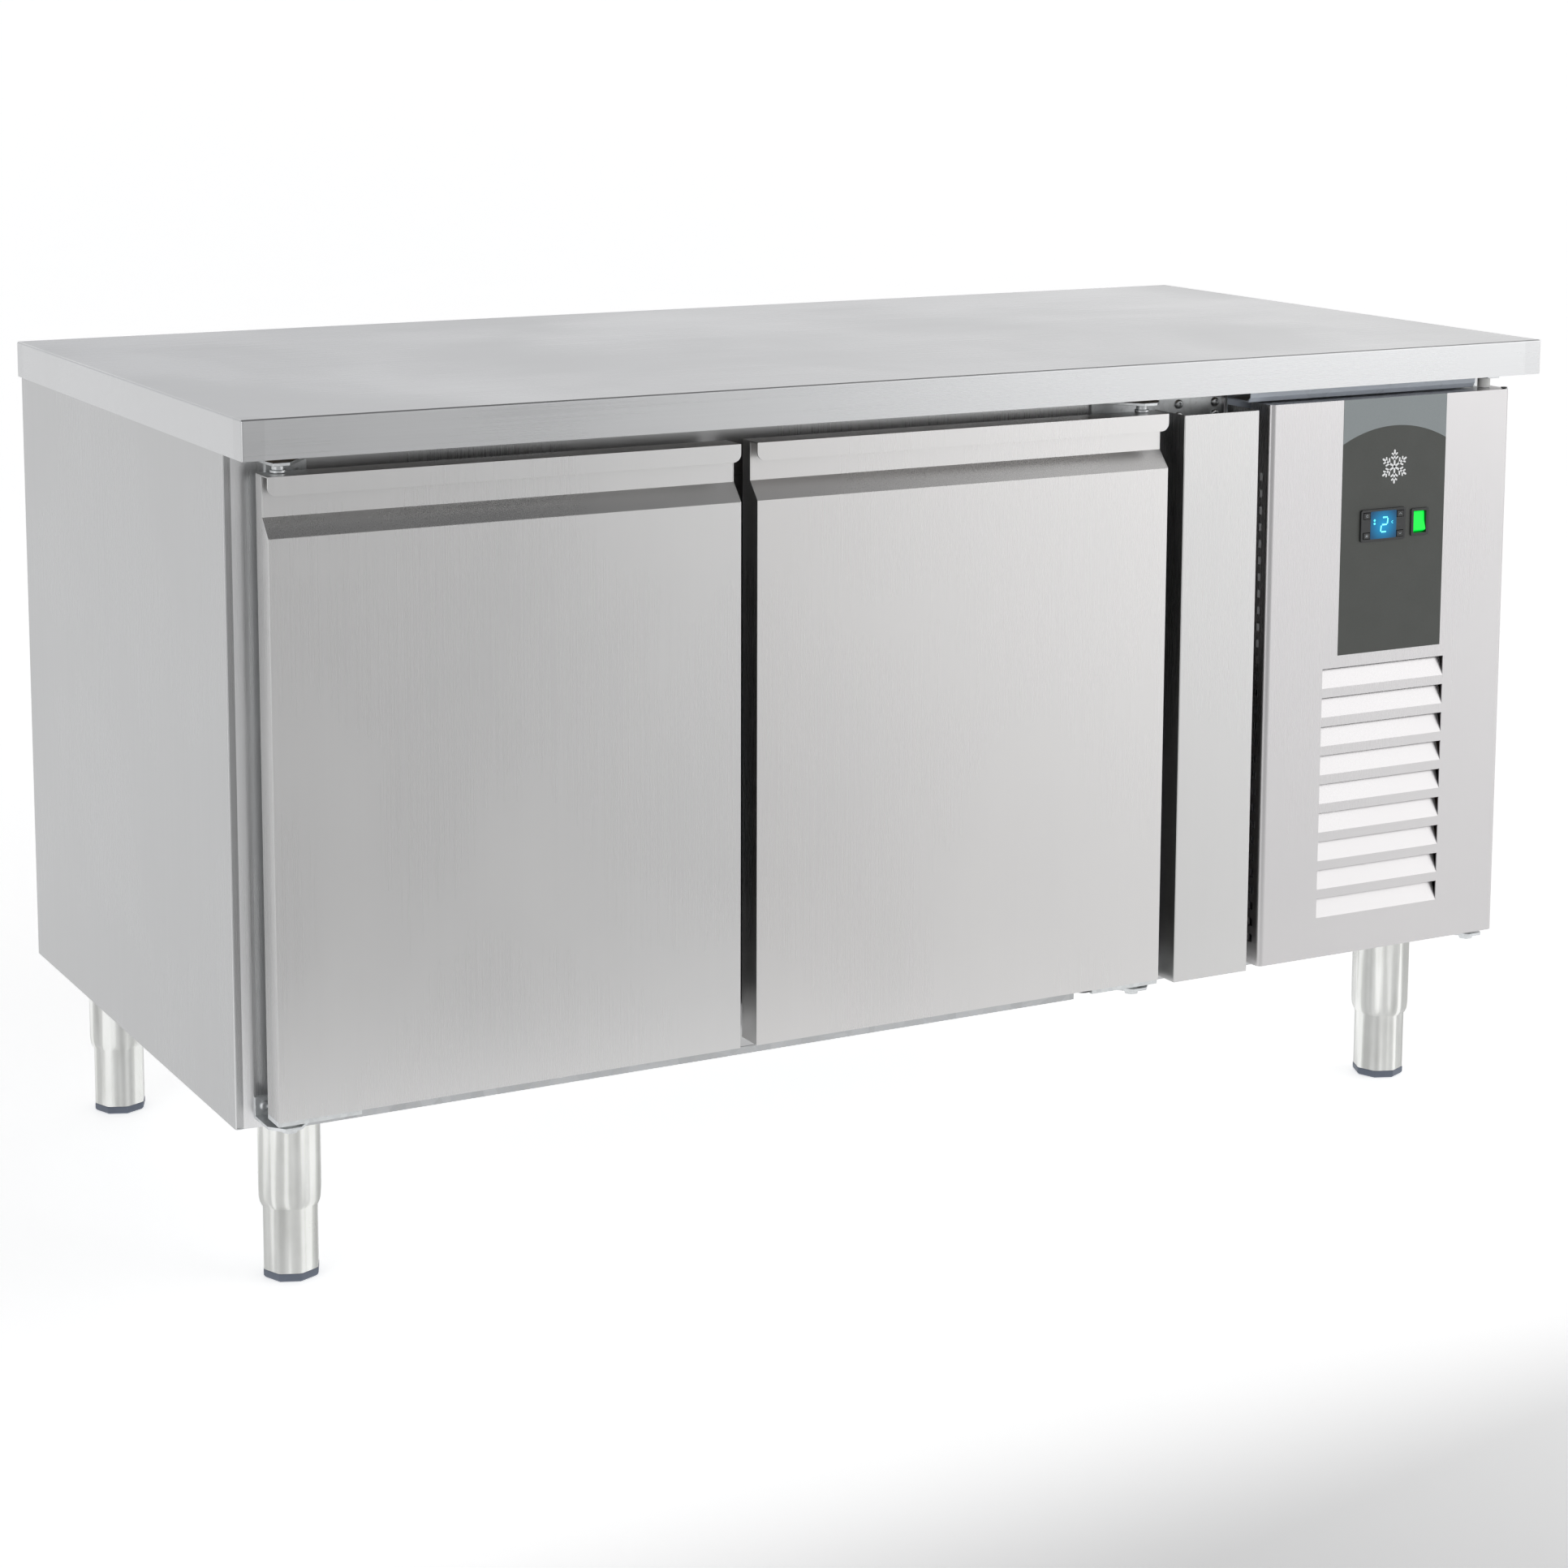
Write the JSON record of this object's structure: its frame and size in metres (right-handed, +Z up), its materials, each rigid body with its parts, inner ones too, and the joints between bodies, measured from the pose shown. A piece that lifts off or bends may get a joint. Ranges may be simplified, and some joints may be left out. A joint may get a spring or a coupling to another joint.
{
  "type": "undercounter refrigerator",
  "caption": "Undercounter refrigerator: hinged doors below a stainless worktop, a hinged service cover with louvres and controls, and height-adjustable legs.",
  "frame": {"origin": "on the floor under the middle of the worktop", "axes": "+X along the front towards the service cover, -Y out of the doors, +Z up"},
  "size_m": [1.42, 0.69, 0.81],
  "materials": {
    "worktop_steel": "satin",
    "door_steel": "satin",
    "side_steel": "satin",
    "leg_steel": "satin",
    "galvanised": "satin",
    "blue_grey_rail": "satin",
    "zinc_bracket": "satin",
    "foam": "matte",
    "board": "matte",
    "liner_steel": "satin",
    "white_panel": "satin",
    "seal": "matte",
    "shelf_coat": "satin",
    "fins": "satin",
    "copper": "satin",
    "black_paint": "satin",
    "black_plastic": "matte",
    "grey_plastic": "matte",
    "grommet": "matte",
    "label_film": "satin",
    "lit_green": "gloss",
    "glide": "matte"
  },
  "bodies": {
    "cabinet": {"worktop_skin": "worktop_steel", "worktop_board": "board", "left_side_panel": "side_steel", "right_side_panel": "side_steel", "back_panel": "galvanised", "rear_grille": "galvanised", "base_panel": "galvanised", "machine_tray": "galvanised", "insulation": "foam", "liner": "liner_steel", "front_frame": "side_steel", "filler_panel": "door_steel", "machine_top_rail": "blue_grey_rail", "hinge_brackets": "zinc_bracket", "hinge_pins": "zinc_bracket", "frame_screws": "zinc_bracket", "shelf_uprights": "liner_steel", "shelf_runners": "liner_steel", "wire_shelf_left": "shelf_coat", "wire_shelf_right": "shelf_coat", "evaporator_housing": "white_panel", "evaporator_coil": "fins", "evaporator_motor": "grey_plastic", "compressor": "black_paint", "compressor_mounts": "grommet", "condenser_coil": "fins", "condenser_shroud": "galvanised", "condenser_motor": "black_paint", "electrical_box": "grey_plastic", "filter_drier": "copper", "refrigerant_lines": "copper", "cable_gland": "black_plastic", "leg_sleeves": "leg_steel"},
    "left_door": {"left_door_skin": "door_steel", "left_door_handle": "door_steel", "left_door_core": "foam", "left_door_liner": "white_panel", "left_door_gasket": "seal", "left_door_hinge_plates": "zinc_bracket"},
    "right_door": {"right_door_skin": "door_steel", "right_door_handle": "door_steel", "right_door_core": "foam", "right_door_liner": "white_panel", "right_door_gasket": "seal", "right_door_hinge_plates": "zinc_bracket"},
    "service_cover": {"cover_panel": "door_steel", "control_label": "label_film", "controller": "black_plastic", "switch_bezel": "black_plastic"},
    "power_rocker": {"rocker": "lit_green"},
    "set_key": {"key_set": "black_plastic"},
    "light_key": {"key_light": "black_plastic"},
    "up_key": {"key_up": "black_plastic"},
    "down_key": {"key_down": "black_plastic"},
    "evaporator_rotor": {"evaporator_fan": "grey_plastic"},
    "condenser_rotor": {"condenser_fan": "fins"},
    "front_left_foot": {"foot_front_left": "leg_steel"},
    "front_right_foot": {"foot_front_right": "leg_steel"},
    "rear_left_foot": {"foot_rear_left": "leg_steel"},
    "rear_right_foot": {"foot_rear_right": "leg_steel"}
  },
  "joints": [
    {"name": "left_door_hinge", "type": "hinge", "parent": "cabinet", "child": "left_door", "pos_m": [-0.669, -0.32, 0.4715], "axis": [0, 0, -1], "range_deg": [0, 100]},
    {"name": "right_door_hinge", "type": "hinge", "parent": "cabinet", "child": "right_door", "pos_m": [0.227, -0.32, 0.4715], "axis": [0, 0, 1], "range_deg": [0, 100]},
    {"name": "service_cover_hinge", "type": "hinge", "parent": "cabinet", "child": "service_cover", "pos_m": [0.656, -0.32, 0.47], "axis": [0, 0, 1], "range_deg": [0, 100]},
    {"name": "power_rocker_tilt", "type": "hinge", "parent": "service_cover", "child": "power_rocker", "pos_m": [0.5582, -0.3365, 0.6286], "axis": [1, 0, 0], "range_deg": [0, 18]},
    {"name": "evaporator_fan_spin", "type": "hinge", "parent": "cabinet", "child": "evaporator_rotor", "pos_m": [0.243, 0.04, 0.62], "axis": [1, 0, 0], "continuous": true},
    {"name": "condenser_fan_spin", "type": "hinge", "parent": "cabinet", "child": "condenser_rotor", "pos_m": [0.522, -0.133, 0.315], "axis": [0, 1, 0], "continuous": true},
    {"name": "set_key_press", "type": "slide", "parent": "service_cover", "child": "set_key", "axis": [0, 1, 0], "range_m": [0, 0.0005], "stiffness_N_per_m": 400},
    {"name": "light_key_press", "type": "slide", "parent": "service_cover", "child": "light_key", "axis": [0, 1, 0], "range_m": [0, 0.0005], "stiffness_N_per_m": 400},
    {"name": "up_key_press", "type": "slide", "parent": "service_cover", "child": "up_key", "axis": [0, 1, 0], "range_m": [0, 0.0005], "stiffness_N_per_m": 400},
    {"name": "down_key_press", "type": "slide", "parent": "service_cover", "child": "down_key", "axis": [0, 1, 0], "range_m": [0, 0.0005], "stiffness_N_per_m": 400},
    {"name": "front_left_foot_height", "type": "slide", "parent": "cabinet", "child": "front_left_foot", "axis": [0, 0, 1], "range_m": [-0.02, 0.035]},
    {"name": "front_right_foot_height", "type": "slide", "parent": "cabinet", "child": "front_right_foot", "axis": [0, 0, 1], "range_m": [-0.02, 0.035]},
    {"name": "rear_left_foot_height", "type": "slide", "parent": "cabinet", "child": "rear_left_foot", "axis": [0, 0, 1], "range_m": [-0.02, 0.035]},
    {"name": "rear_right_foot_height", "type": "slide", "parent": "cabinet", "child": "rear_right_foot", "axis": [0, 0, 1], "range_m": [-0.02, 0.035]}
  ]
}
